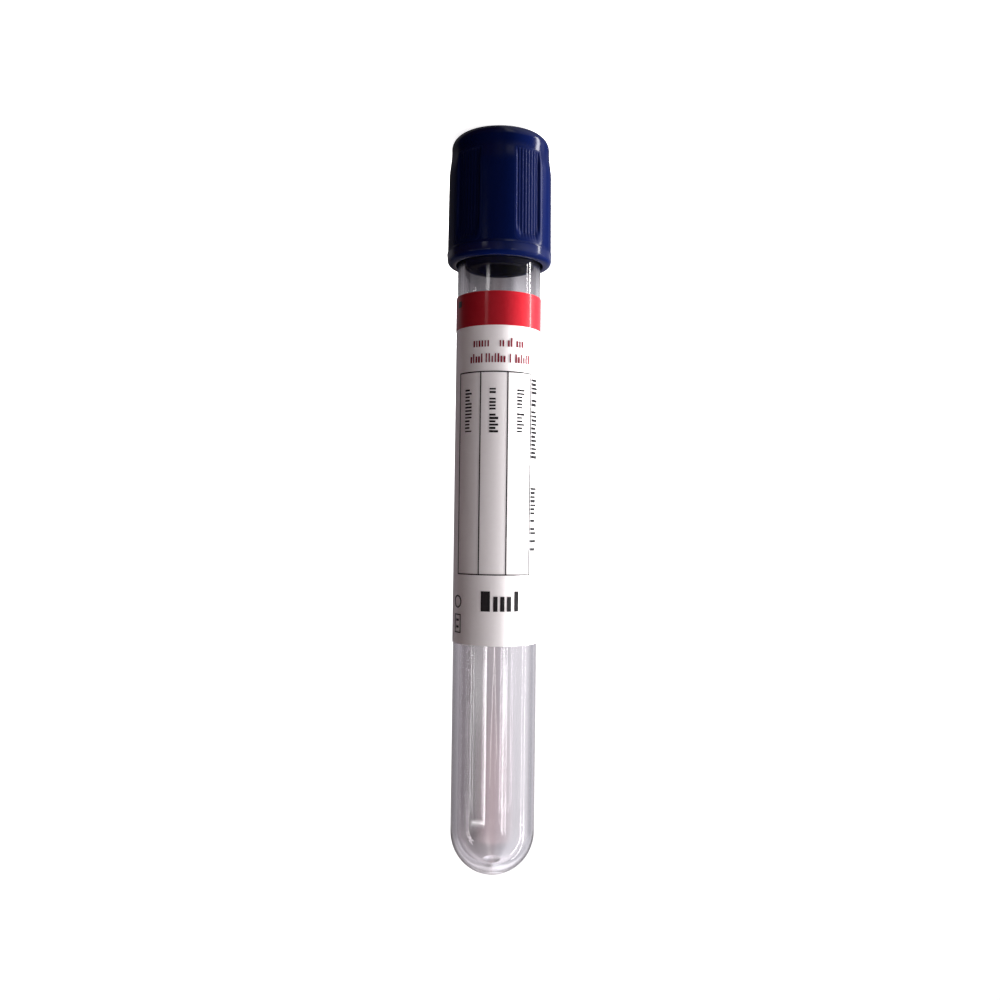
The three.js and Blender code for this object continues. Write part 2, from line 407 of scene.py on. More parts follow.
def grown(name, tree, base, material, sizes):
    """Runs a tree on a mesh and keeps the result as a plain mesh without the modifier."""
    piece = new_piece(name, base)
    modifier = piece.modifiers.new(tree.name, "NODES")
    modifier.node_group = tree
    for item in tree.interface.items_tree:
        if item.in_out == "INPUT" and item.name in sizes:
            modifier[item.identifier] = sizes[item.name]
        if item.in_out == "INPUT" and item.name == "Material":
            modifier[item.identifier] = material
    depsgraph = bpy.context.evaluated_depsgraph_get()
    result = bpy.data.meshes.new_from_object(piece.evaluated_get(depsgraph))
    piece.modifiers.remove(modifier)
    piece.data = result
    result.name = name
    return piece


def mounted(piece, body, slot, *nodes):
    """Rides on its body and stands for its CAD nodes; the slot is not used."""
    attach(piece, body)
    if nodes:
        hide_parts(*nodes)


# ---------------------------------------------------------------- tube

def tube_piece():
    inner_tip = TIP - BASE_THICKNESS
    lip = TUBE_WALL / 2
    inner = dome(BORE_RADIUS, CORE_TIP_RADIUS, inner_tip)[::-1]
    outer = dome(TUBE_RADIUS, GATE_RADIUS, TIP)
    lip_arc = [Vector((BORE_RADIUS + lip - lip * math.cos(math.pi * step / 10),
                       MOUTH + lip - lip * math.sin(math.pi * step / 10))) for step in range(11)]
    mark_height = inner_tip - CORE_MARK_DEPTH
    mark = [Vector((0, mark_height)), Vector((CORE_TIP_RADIUS - CORE_MARK_SLOPE, mark_height))]
    outline = [*mark, *inner, *divided(inner[-1], lip_arc[0], 40), *lip_arc,
               *divided(lip_arc[-1], outer[0], 40), *outer, Vector((0, TIP))]
    mesh = turned("tube_body", outline, even_bearings(160))
    mesh.materials.append(MATERIALS["clear_plastic"])
    mounted(new_piece("tube_body", mesh), "tube", "clear_plastic", "tube")


# ---------------------------------------------------------------- stopper

def stopper_piece():
    groove = SKIRT_BORE - BEAD_REACH - RUBBER_FIT
    groove_low = BEAD_HEIGHT - BEAD_HALF_WIDTH - RUBBER_FIT
    groove_high = BEAD_HEIGHT + BEAD_HALF_WIDTH + RUBBER_FIT
    plug_foot = PLUG_END - HOLLOW_DEPTH
    outline = rounded([
        (0, STOPPER_TOP + DISH_DEPTH, 0),
        (DISH_RADIUS, STOPPER_TOP + DISH_DEPTH, 0.5),
        (DISH_RADIUS, STOPPER_TOP, 0.2),
        (HEAD_RADIUS, STOPPER_TOP, 0.35),
        (HEAD_RADIUS, groove_low, 0.1),
        (groove, groove_low, 0.1),
        (groove, groove_high, 0.1),
        (HEAD_RADIUS, groove_high, 0.1),
        (HEAD_RADIUS, HEAD_END, 0.3),
        (PLUG_RADIUS, HEAD_END, 0.1),
        (PLUG_RADIUS, PLUG_END - PLUG_CHAMFER, 0.3),
        (PLUG_RADIUS - PLUG_CHAMFER, PLUG_END, 0.25),
        (HOLLOW_RADIUS, PLUG_END, 0.3),
        (HOLLOW_RADIUS, plug_foot, 0.8),
        (0, plug_foot, 0),
    ], 5)
    mesh = turned("stopper_plug", outline, even_bearings(128))
    mesh.materials.append(MATERIALS["stopper_rubber"])
    mounted(new_piece("stopper_plug", mesh), "closure", "stopper_rubber", "stopper")


# ---------------------------------------------------------------- cap

def grip_bearings():
    """Bearings round the cap, close together at the pads' edges and across each rib."""
    edge = [-2.4, -1.8, -1.3, -0.85, -0.4, 0.0, 0.4, 0.85]
    across_rib = [-0.36, -0.27, -0.19, -0.11, -0.04, 0.04, 0.11, 0.19, 0.27, 0.36]
    bearings = []
    for pad in range(PAD_COUNT):
        centre = FIRST_PAD + pad * 360 / PAD_COUNT
        pad_end = centre + PAD_SPAN / 2
        bearings += [centre - PAD_SPAN / 2 - each for each in reversed(edge)]
        bearings += [centre + PAD_SPAN * (step / 10 - 0.5) for step in range(1, 10)]
        bearings += [pad_end + each for each in edge]
        for rib in range(1, RIBS_PER_PANEL + 1):
            middle = pad_end + rib * RIB_PITCH
            bearings += [middle + each * RIB_PITCH for each in across_rib]
            bearings.append(middle + RIB_PITCH / 2)
    ordered = sorted(each % 360 for each in bearings)
    closest = 0.12
    following = ordered[1:] + [ordered[0] + 360]
    return [each for each, after in zip(ordered, following) if after - each > closest]


def relief_tree():
    """Sinks the ribbed panels into the turned shell and raises their fine ribs."""
    tree, given, result = new_tree("cap_grip_relief", {
        "Pad Count": 5.0, "First Pad": 0.0, "Panel Half Span": 0.28, "Panel Radius": 0.0073, "Flare": 0.01,
        "Panel Start": 0.0034, "Panel End": 0.017, "Upper Corner": 0.0003, "Lower Corner": 0.001,
        "Side Width": 0.0003, "Fillet Width": 0.001, "Rib Pitch": 0.07, "Rib Count": 7.0,
        "Rib Height": 0.0002, "Rib Width": 0.0002, "Shell Middle": 0.0069, "Edge Margin": 0.0001,
        "Dull Reach": 0.0004,
    })

    def do(operation, *values):
        return calc(tree, operation, *values)

    position = add_node(tree, "GeometryNodeInputPosition").outputs[0]
    x, y, z = split(tree, position)
    radius = diagonal(tree, x, y)
    bearing = do("ARCTAN2", do("MULTIPLY", x, -1.0), do("MULTIPLY", y, -1.0))
    period = do("DIVIDE", 2 * math.pi, given["Pad Count"])
    half_period = do("MULTIPLY", period, 0.5)
    from_pad = do("SUBTRACT", bearing, given["First Pad"])
    from_panel = do("WRAP", do("SUBTRACT", from_pad, half_period),
                    half_period, do("MULTIPLY", half_period, -1.0))
    panel_middle = do("MULTIPLY", do("ADD", given["Panel Start"], given["Panel End"]), 0.5)
    panel_half = do("MULTIPLY", do("SUBTRACT", given["Panel End"], given["Panel Start"]), 0.5)
    to_lip = eased(tree, z, do("MULTIPLY", panel_middle, 0.8), do("MULTIPLY", panel_middle, 1.2))

    def between(low, high, factor):
        return do("ADD", low, do("MULTIPLY", factor, do("SUBTRACT", high, low)))

    def outside_box(across, along, half_across, half_along, corner):
        """Distance to the edge of a field with round corners, negative inside it."""
        over_across = do("ADD", do("SUBTRACT", do("ABSOLUTE", across), half_across), corner)
        over_along = do("ADD", do("SUBTRACT", do("ABSOLUTE", along), half_along), corner)
        far = diagonal(tree, do("MAXIMUM", over_across, 0.0), do("MAXIMUM", over_along, 0.0))
        near = do("MINIMUM", do("MAXIMUM", over_across, over_along), 0.0)
        return do("SUBTRACT", do("ADD", far, near), corner)

    panel_edge = outside_box(do("MULTIPLY", from_panel, given["Panel Radius"]),
                             do("SUBTRACT", z, panel_middle),
                             do("MULTIPLY", given["Panel Half Span"], given["Panel Radius"]), panel_half,
                             between(given["Upper Corner"], given["Lower Corner"], to_lip))
    near_end = eased(tree, z, do("SUBTRACT", given["Panel End"], do("MULTIPLY", given["Fillet Width"], 1.5)),
                     do("SUBTRACT", given["Panel End"], do("MULTIPLY", given["Fillet Width"], 0.5)))
    edge_width = between(given["Side Width"], given["Fillet Width"], near_end)
    inside = eased(tree, panel_edge, 0.0, do("MULTIPLY", edge_width, -1.0))

    last_rib = do("MULTIPLY", do("SUBTRACT", given["Rib Count"], 1.0), 0.5)
    turn = do("DIVIDE", from_panel, given["Rib Pitch"])
    nearest = do("MINIMUM", do("MAXIMUM", do("ROUND", turn), do("MULTIPLY", last_rib, -1.0)), last_rib)
    from_rib = do("MULTIPLY", do("SUBTRACT", turn, nearest),
                  do("MULTIPLY", given["Rib Pitch"], given["Panel Radius"]))
    half_width = do("MULTIPLY", given["Rib Width"], 0.5)
    rib_edge = do("SUBTRACT", do("ABSOLUTE", from_rib), half_width)
    rib = do("MULTIPLY", given["Rib Height"],
             eased(tree, rib_edge, do("MULTIPLY", given["Rib Width"], 0.35),
                   do("MULTIPLY", given["Rib Width"], -0.45)))

    along = do("DIVIDE", do("SUBTRACT", z, given["Panel Start"]), do("MULTIPLY", panel_half, 2.0))
    panel = do("MULTIPLY", given["Panel Radius"], do("ADD", 1.0, do("MULTIPLY", given["Flare"], along)))
    wanted = do("MINIMUM", radius, between(radius, do("ADD", panel, rib), inside))
    factor = do("DIVIDE", wanted, radius)
    placed = vector_of(tree, do("MULTIPLY", x, factor), do("MULTIPLY", y, factor), z)
    outer = do("GREATER_THAN", radius, given["Shell Middle"])
    first_row = do("SUBTRACT", given["Panel Start"], given["Edge Margin"])
    last_row = do("ADD", given["Panel End"], given["Edge Margin"])
    in_grip = do("MULTIPLY", do("GREATER_THAN", z, first_row), do("LESS_THAN", z, last_row))
    grip_face = do("MULTIPLY", outer, in_grip)
    moved = pipe(tree, "GeometryNodeSetPosition", given["Geometry"], Selection=grip_face, Position=placed)
    near_panel = do("MULTIPLY", grip_face, eased(tree, panel_edge, given["Dull Reach"], given["Edge Margin"]))
    marked = pipe(tree, "GeometryNodeStoreNamedAttribute", moved, Name=PANEL_ATTRIBUTE, Value=near_panel)
    whole = pipe(tree, "GeometryNodeRealizeInstances", marked)
    tree.links.new(pipe(tree, "GeometryNodeSetMaterial", whole, Material=given["Material"]), result)
    return tree


def pad_radius(height):
    """Outer radius of the cap where a smooth pad stands: it grows out of the collar without an edge."""
    share = min(max((height - PAD_RAMP_START) / (PAD_RAMP_END - PAD_RAMP_START), 0), 1)
    flare = FLARE * max(height - COLLAR_LENGTH, 0) / (RIM_START - COLLAR_LENGTH)
    return COLLAR_RADIUS + PAD_RISE * share * share * (3 - 2 * share) + flare


def cap_piece():
    top = rounded([(NEEDLE_HOLE, TOP_THICKNESS, 0), (NEEDLE_HOLE, 0, 0.3),
                   (COLLAR_RADIUS, 0, TOP_ROUND), (COLLAR_RADIUS, PAD_RAMP_START, 0)], 10)
    edge_rows = [COLLAR_LENGTH + step * 0.09 for step in range(-2, 8)]
    fillet_rows = [PANEL_END - 1.2 + step * 0.1 for step in range(13)]
    grip_rows = [2.4, 2.7, 3.0, *edge_rows, 4.3, 4.7, 5.2, 5.8, 6.6, 7.6, 8.8,
                 10.0, 11.2, 12.4, 13.6, 14.6, 15.2, 15.6, *fillet_rows]
    grip = [Vector((pad_radius(row), row)) for row in grip_rows]
    rim = rounded([(pad_radius(PANEL_END), PANEL_END + 0.02, 0), (RIM_RADIUS, RIM_START + 0.1, 0.5),
                   (RIM_RADIUS - 0.13, CAP_LENGTH, 0.8),
                   (SKIRT_BORE, CAP_LENGTH, 0.12), (SKIRT_BORE, CAP_LENGTH - 1, 0)], 10)
    bead = SKIRT_BORE - BEAD_REACH
    inside = rounded([(SKIRT_BORE, CAP_LENGTH - 2, 0),
                      (SKIRT_BORE, BEAD_HEIGHT + BEAD_HALF_WIDTH, 0.3),
                      (bead, BEAD_HEIGHT + BEAD_HALF_WIDTH / 2, 0.15),
                      (bead, BEAD_HEIGHT - BEAD_HALF_WIDTH / 2, 0.15),
                      (SKIRT_BORE, BEAD_HEIGHT - BEAD_HALF_WIDTH, 0.3),
                      (SKIRT_BORE, TOP_THICKNESS, 0.3), (NEEDLE_HOLE, TOP_THICKNESS, 0)], 4)
    outline = [*top, *grip, *rim, *inside[:-1]]
    shell = turned("cap_shell", outline, grip_bearings())
    piece = grown("cap_shell", relief_tree(), shell, MATERIALS["navy_plastic"], {
        "Pad Count": float(PAD_COUNT),
        "First Pad": math.radians(FIRST_PAD),
        "Panel Half Span": math.radians(180 / PAD_COUNT - PAD_SPAN / 2),
        "Panel Radius": PANEL_RADIUS * MM,
        "Flare": FLARE / PANEL_RADIUS,
        "Panel Start": COLLAR_LENGTH * MM,
        "Panel End": PANEL_END * MM,
        "Upper Corner": 0.15 * MM,
        "Lower Corner": 1.0 * MM,
        "Side Width": 0.34 * MM,
        "Fillet Width": 1.5 * MM,
        "Rib Pitch": math.radians(RIB_PITCH),
        "Rib Count": float(RIBS_PER_PANEL),
        "Rib Height": RIB_HEIGHT * MM,
        "Rib Width": 0.34 * MM,
        "Shell Middle": 6.95 * MM,
        "Edge Margin": 0.1 * MM,
        "Dull Reach": 0.4 * MM,
    })
    piece.data.shade_smooth()
    mounted(piece, "closure", "navy_plastic", "cap")


# ---------------------------------------------------------------- label and print

PLACE_SIZES = {"Bearing": 0.0, "Height": 0.03, "Radius": 0.0064}


def wrap_tree():
    """Bends flat work round the tube: x runs round it, y runs towards the cap and z points outwards."""
    tree, given, result = new_tree("wrapped_round_tube", PLACE_SIZES)
    x, y, z = split(tree, add_node(tree, "GeometryNodeInputPosition").outputs[0])
    bearing = calc(tree, "ADD", given["Bearing"], calc(tree, "DIVIDE", x, given["Radius"]))
    out = calc(tree, "MULTIPLY", calc(tree, "ADD", given["Radius"], z), -1.0)
    placed = vector_of(tree, calc(tree, "MULTIPLY", out, calc(tree, "SINE", bearing)),
                       calc(tree, "MULTIPLY", out, calc(tree, "COSINE", bearing)),
                       calc(tree, "SUBTRACT", given["Height"], y))
    tree.links.new(pipe(tree, "GeometryNodeSetPosition", given["Geometry"], Position=placed), result)
    return tree


WRAP = wrap_tree()


def finish_wrapped(tree, flat, given, result):
    """Realizes flat work, bends it round the tube, gives it its material and hands it over."""
    whole = pipe(tree, "GeometryNodeRealizeInstances", flat)
    wrap = add_node(tree, "GeometryNodeGroup", node_tree=WRAP)
    tree.links.new(whole, wrap.inputs["Geometry"])
    for name in PLACE_SIZES:
        tree.links.new(given[name], wrap.inputs[name])
    tree.links.new(pipe(tree, "GeometryNodeSetMaterial", wrap.outputs[0], Material=given["Material"]), result)


def film_tree():
    """A plain rectangle of film or ink."""
    tree, given, result = new_tree("film_field", {
        "Width": 0.01, "Length": 0.01, "Thickness": 0.0001, "Steps Round": 8, "Steps Along": 2,
        **PLACE_SIZES})
    size = vector_of(tree, given["Width"], given["Length"], given["Thickness"])
    field = add_node(tree, "GeometryNodeMeshCube")
    for socket, value in zip(field.inputs, (size, given["Steps Round"], given["Steps Along"], 2)):
        feed(tree, socket, value)
    finish_wrapped(tree, field.outputs[0], given, result)
    return tree


def table_tree():
    """The ruled columns of the record table."""
    tree, given, result = new_tree("record_rules", {
        "Columns": 3, "Column Width": 0.004, "Length": 0.03, "Rule Width": 0.00016, "Thickness": 0.00004,
        **PLACE_SIZES})

    def rules(count, step_x, step_y, width, length, cuts):
        line = add_node(tree, "GeometryNodeMeshLine", mode="OFFSET")
        steps_back = calc(tree, "MULTIPLY", calc(tree, "SUBTRACT", count, 1), -0.5)
        first_x, first_y = (calc(tree, "MULTIPLY", step, steps_back) for step in (step_x, step_y))
        feed(tree, line.inputs["Count"], count)
        feed(tree, line.inputs["Start Location"], vector_of(tree, first_x, first_y, 0.0))
        feed(tree, line.inputs["Offset"], vector_of(tree, step_x, step_y, 0.0))
        rule = add_node(tree, "GeometryNodeMeshCube")
        feed(tree, rule.inputs["Size"], vector_of(tree, width, length, given["Thickness"]))
        feed(tree, rule.inputs["Vertices X"], cuts)
        return pipe(tree, "GeometryNodeInstanceOnPoints", line.outputs[0], Instance=rule.outputs[0])

    upright = rules(calc(tree, "ADD", given["Columns"], 1), given["Column Width"], 0.0,
                    given["Rule Width"], given["Length"], 2)
    round_width = calc(tree, "ADD", calc(tree, "MULTIPLY", given["Columns"], given["Column Width"]),
                       given["Rule Width"])
    level = rules(2, 0.0, calc(tree, "SUBTRACT", given["Length"], given["Rule Width"]), round_width,
                  given["Rule Width"], 40)
    both = add_node(tree, "GeometryNodeJoinGeometry")
    tree.links.new(upright, both.inputs[0])
    tree.links.new(level, both.inputs[0])
    finish_wrapped(tree, both.outputs[0], given, result)
    return tree


def marks_tree():
    """A row of thin upright strokes in the place of a line of words, some tall, some low, some left out."""
    tree, given, result = new_tree("printed_marks", {
        "Count": 8, "Second Word": 8, "Pitch": 0.001, "Word Gap": 0.0004, "Tall": 0.0013, "Low Share": 0.7,
        "Tall Chance": 0.4, "Gap Chance": 0.12, "Stroke": 0.0002, "Turn": 0.0, "Thickness": 0.00004,
        "Seed": 3, **PLACE_SIZES})
    line = add_node(tree, "GeometryNodeMeshLine", mode="OFFSET")
    feed(tree, line.inputs["Count"], given["Count"])
    feed(tree, line.inputs["Offset"], vector_of(tree, given["Pitch"], 0.0, 0.0))
    run = calc(tree, "ADD", calc(tree, "MULTIPLY", calc(tree, "SUBTRACT", given["Count"], 1), given["Pitch"]),
               given["Word Gap"])
    index = add_node(tree, "GeometryNodeInputIndex").outputs[0]
    after_gap = calc(tree, "GREATER_THAN", index, calc(tree, "SUBTRACT", given["Second Word"], 0.5))

    def drawn(low, high, seed_step):
        node = add_node(tree, "FunctionNodeRandomValue", data_type="FLOAT")
        feed(tree, node.inputs[2], low)
        feed(tree, node.inputs[3], high)
        feed(tree, node.inputs["Seed"], calc(tree, "ADD", given["Seed"], seed_step))
        return node.outputs[1]

    is_tall = calc(tree, "LESS_THAN", drawn(0.0, 1.0, 0), given["Tall Chance"])
    share = calc(tree, "ADD", given["Low Share"],
                 calc(tree, "MULTIPLY", is_tall, calc(tree, "SUBTRACT", 1.0, given["Low Share"])))
    height = calc(tree, "MULTIPLY", given["Tall"], share)
    width = calc(tree, "MULTIPLY", given["Stroke"], drawn(0.85, 1.35, 1))
    shift_x = calc(tree, "SUBTRACT", calc(tree, "MULTIPLY", after_gap, given["Word Gap"]),
                   calc(tree, "MULTIPLY", run, 0.5))
    shift_y = calc(tree, "MULTIPLY", calc(tree, "SUBTRACT", height, given["Tall"]), 0.5)
    shift = vector_of(tree, shift_x, shift_y, 0.0)
    spread = pipe(tree, "GeometryNodeSetPosition", line.outputs[0], Offset=shift)
    stroke = add_node(tree, "GeometryNodeMeshCube")
    kept = calc(tree, "GREATER_THAN", drawn(0.0, 1.0, 2), given["Gap Chance"])
    strokes = pipe(tree, "GeometryNodeInstanceOnPoints", spread, Instance=stroke.outputs[0], Selection=kept,
                   Scale=vector_of(tree, width, height, given["Thickness"]))
    turned_row = pipe(tree, "GeometryNodeTransform", pipe(tree, "GeometryNodeRealizeInstances", strokes),
                      Rotation=vector_of(tree, 0.0, 0.0, given["Turn"]))
    finish_wrapped(tree, turned_row, given, result)
    return tree


def shapes_tree():
    """Bends ready flat shapes round the tube."""
    tree, given, result = new_tree("printed_shapes", PLACE_SIZES)
    finish_wrapped(tree, given["Geometry"], given, result)
    return tree


def bridge(shape, near, far):
    """Faces from one ring of corners to the next."""
    for side in range(len(near)):
        following = (side + 1) % len(near)
        shape.faces.new((near[side], near[following], far[following], far[side]))


def flat_bars(name, bars):
    """Flat ink bars from (middle x, middle y, width, length) in millimetres, cut up so that they can bend."""
    shape = bmesh.new()
    half = INK_THICKNESS / 2
    for middle_x, middle_y, width, length in bars:
        steps = max(2, math.ceil(width / 0.4))
        rings = []
        for step in range(steps + 1):
            x = middle_x + width * (step / steps - 0.5)
            rings.append([shape.verts.new(Vector((x, middle_y + side_y * length / 2, side_z * half)) * MM)
                          for side_y, side_z in ((-1, -1), (1, -1), (1, 1), (-1, 1))])
        for near, far in zip(rings, rings[1:]):
            bridge(shape, near, far)
        shape.faces.new(rings[0][::-1])
        shape.faces.new(rings[-1])
    return closed_mesh(name, shape)


def flat_ring(name, outer, inner, steps=32):
    """A flat ink ring in millimetres."""
    shape = bmesh.new()
    half = INK_THICKNESS / 2
    rings = []
    for step in range(steps):
        angle = 2 * math.pi * step / steps
        way = Vector((math.cos(angle), math.sin(angle), 0))
        rings.append([shape.verts.new((way * radius + Vector((0, 0, height))) * MM)
                      for radius, height in ((inner, -half), (outer, -half), (outer, half), (inner, half))])
    for near, far in zip(rings, rings[1:] + rings[:1]):
        bridge(shape, near, far)
    return closed_mesh(name, shape)


def wrapped_piece(name, tree, ink, place, sizes, *nodes, flat=None):
    """Print or film on the tube's wall at a (bearing, height, radius) place."""
    bearing, height, radius = place
    piece = grown(name, tree, flat or bpy.data.meshes.new(name), MATERIALS[ink],
                  {"Bearing": bearing, "Height": height * MM, "Radius": radius * MM, **sizes})
    mounted(piece, "tube", ink, *nodes)
    return piece


def label_pieces(film):
    middle = (LABEL_START + LABEL_END) / 2
    film_place = (LABEL_BEARING, middle, LABEL_RADIUS - LABEL_THICKNESS / 2)
    wrapped_piece("label_film", film, "label_film", film_place, {
        "Width": LABEL_WIDTH * MM, "Length": (LABEL_END - LABEL_START) * MM,
        "Thickness": LABEL_THICKNESS * MM, "Steps Round": 150, "Steps Along": 12}, "label")
    low, high, _ = node_span("print_red_band")
    wrapped_piece("red_band", film, "red_ink", (LABEL_BEARING, (low + high) / 2, INK_RADIUS), {
        "Width": LABEL_WIDTH * MM, "Length": (high - low) * MM, "Thickness": INK_THICKNESS * MM,
        "Steps Round": 150, "Steps Along": 3}, "print_red_band")


def table_piece():
    low, high, _ = node_span("print_record_grid")
    wrapped_piece("record_table", table_tree(), "black_ink", (TABLE_BEARING, (low + high) / 2, INK_RADIUS), {
        "Columns": 3, "Column Width": COLUMN_WIDTH * MM, "Length": (high - low) * MM,
        "Rule Width": RULE_WIDTH * MM, "Thickness": INK_THICKNESS * MM}, "print_record_grid")


def words_pieces(marks):
    """Rows of plain strokes stand where the real label carries words and figures."""
    title, caption = ("dark_red_ink", 0.0), ("black_ink", -math.pi / 2)
    rows = (
        # name, node, ink and turn, strokes, second word, pitch, word gap, tallest, tall chance, stroke, seed
        ("title_marks_upper", "print_title_upper", title, 19, 11, 0.445, 0.35, 1.3, 0.3, 0.2, 11),
        ("title_marks_lower", "print_title_lower", title, 21, 5, 0.445, 0.25, 1.3, 0.45, 0.21, 12),
        ("caption_marks_1", "print_caption_1", caption, 13, 13, 0.50, 0.0, 1.25, 0.3, 0.19, 13),
        ("caption_marks_2", "print_caption_2", caption, 13, 7, 0.48, 0.4, 1.3, 0.4, 0.25, 14),
        ("caption_marks_3", "print_caption_3", caption, 13, 13, 0.50, 0.0, 1.25, 0.3, 0.24, 18),
    )
    for name, node, (ink, turn), count, second, pitch, gap, tall, chance, stroke, seed in rows:
        bearing, height = node_middle(node)
        wrapped_piece(name, marks, ink, (bearing, height, INK_RADIUS), {
            "Count": count, "Second Word": second, "Pitch": pitch * MM, "Word Gap": gap * MM,
            "Tall": tall * MM, "Tall Chance": chance, "Stroke": stroke * MM, "Turn": turn,
            "Thickness": INK_THICKNESS * MM, "Seed": seed}, node)


def side_marks_pieces(marks):
    """Two long thin rows of small strokes at the label's bright side."""
    for name, middle, count, seed in (("side_marks_1", 42.6, 19, 21), ("side_marks_2", 57.4, 15, 22)):
        wrapped_piece(name, marks, "black_ink", (SIDE_MARKS_BEARING, middle, INK_RADIUS), {
            "Count": count, "Second Word": 7, "Pitch": 0.6 * MM, "Word Gap": 0.5 * MM, "Tall": 1.5 * MM,
            "Low Share": 0.8, "Gap Chance": 0.15, "Stroke": 0.36 * MM, "Turn": -math.pi / 2,
            "Thickness": INK_THICKNESS * MM, "Seed": seed})


def shape_pieces(shapes):
    """Plain bars, a ring and a frame in the place of the large figure and the small signs."""
    bearing, height = node_middle("print_volume_mark")
    tall, low, stroke = 2.9, 2.15, 0.62
    low_middle = (low - tall) / 2
    bars = [(-2.2, 0, 1.35, tall), *((-0.72 + step * 1.0, low_middle, stroke, low) for step in range(3)),
            (2.45, 0, stroke, tall)]
    wrapped_piece("volume_bars", shapes, "black_ink", (bearing, height, INK_RADIUS), {}, "print_volume_mark",
                  flat=flat_bars("volume_bars", bars))
    wrapped_piece("sign_ring", shapes, "black_ink", (SIGN_BEARING, 69.6, INK_RADIUS), {},
                  flat=flat_ring("sign_ring", 0.95, 0.75))
    width, length, line = 1.5, 2.6, 0.16
    frame_bars = [(-width / 2, 0, line, length + line), (width / 2, 0, line, length + line),
                  (0, -length / 2, width - line, line), (0, length / 2, width - line, line),
                  (0, -0.5, 0.7, 0.3), (0, 0.5, 0.7, 0.3)]
    wrapped_piece("sign_frame", shapes, "black_ink", (SIGN_BEARING, 72.8, INK_RADIUS), {},
                  flat=flat_bars("sign_frame", frame_bars))
    wrapped_piece("band_mark", shapes, "black_ink", (math.radians(-63), 25.7, INK_RADIUS + INK_THICKNESS), {},
                  flat=flat_bars("band_mark", [(0, 0, 1.0, 0.9)]))


# ---------------------------------------------------------------- studio

def soft_window(tree, azimuth, elevation, centre, width, low, high, softness, lean):
    """1 inside a window of the studio and 0 outside it, with soft edges. Angles in degrees; the window
    leans by this many degrees sideways for each degree upwards."""
    middle = calc(tree, "ADD", calc(tree, "MULTIPLY", calc(tree, "SUBTRACT", elevation, low), lean), centre)
    off = calc(tree, "ABSOLUTE", calc(tree, "WRAP", calc(tree, "SUBTRACT", azimuth, middle), 180.0, -180.0))
    across = eased(tree, off, width / 2 + softness, width / 2 - softness)
    above = eased(tree, elevation, low - softness, low + softness)
    below = eased(tree, elevation, high + softness, high - softness)
    return calc(tree, "MULTIPLY", across, calc(tree, "MULTIPLY", above, below))


def ramp(tree, value, stops):
    """A colour that follows (position, colour) stops."""
    node = add_node(tree, "ShaderNodeValToRGB")
    tree.links.new(value, node.inputs[0])
    elements = node.color_ramp.elements
    while len(elements) < len(stops):
        elements.new(0.5)
    for element, (position, colour) in zip(elements, stops):
        element.position = position
        element.color = (*colour, 1)
    return node.outputs["Color"]


ROOM_TONES = (
    # azimuth from the printed front, growing towards the bright side, and the tone there
    (-180, (0.35, 0.32, 0.335)), (-178.2, (0.40, 0.38, 0.395)), (-177, (0.20, 0.19, 0.20)),
    (-172, (0.11, 0.104, 0.11)), (-168, (0.15, 0.142, 0.152)), (-160, (0.215, 0.20, 0.215)),
    (-150, (0.30, 0.283, 0.305)), (-141, (0.29, 0.273, 0.30)), (-128, (0.40, 0.38, 0.41)),
    (-112, (0.10, 0.07, 0.08)), (-95, (0.095, 0.04, 0.045)), (-20, (0.15, 0.07, 0.075)),
    (0, (0.45, 0.38, 0.39)), (12, (0.20, 0.18, 0.18)), (22, (0.30, 0.29, 0.29)), (40, (1.05, 1.03, 1.05)),
    (60, (1.70, 1.69, 1.70)), (100, (1.90, 1.87, 1.88)), (113, (1.60, 1.57, 1.63)),
    (124, (0.64, 0.63, 0.68)), (132, (0.48, 0.47, 0.51)), (148, (0.50, 0.49, 0.54)),
    (158, (0.76, 0.75, 0.80)), (174, (0.71, 0.71, 0.75)), (176.5, (0.48, 0.475, 0.51)),
    (178.5, (0.48, 0.46, 0.49)), (180, (0.35, 0.32, 0.335)),
)
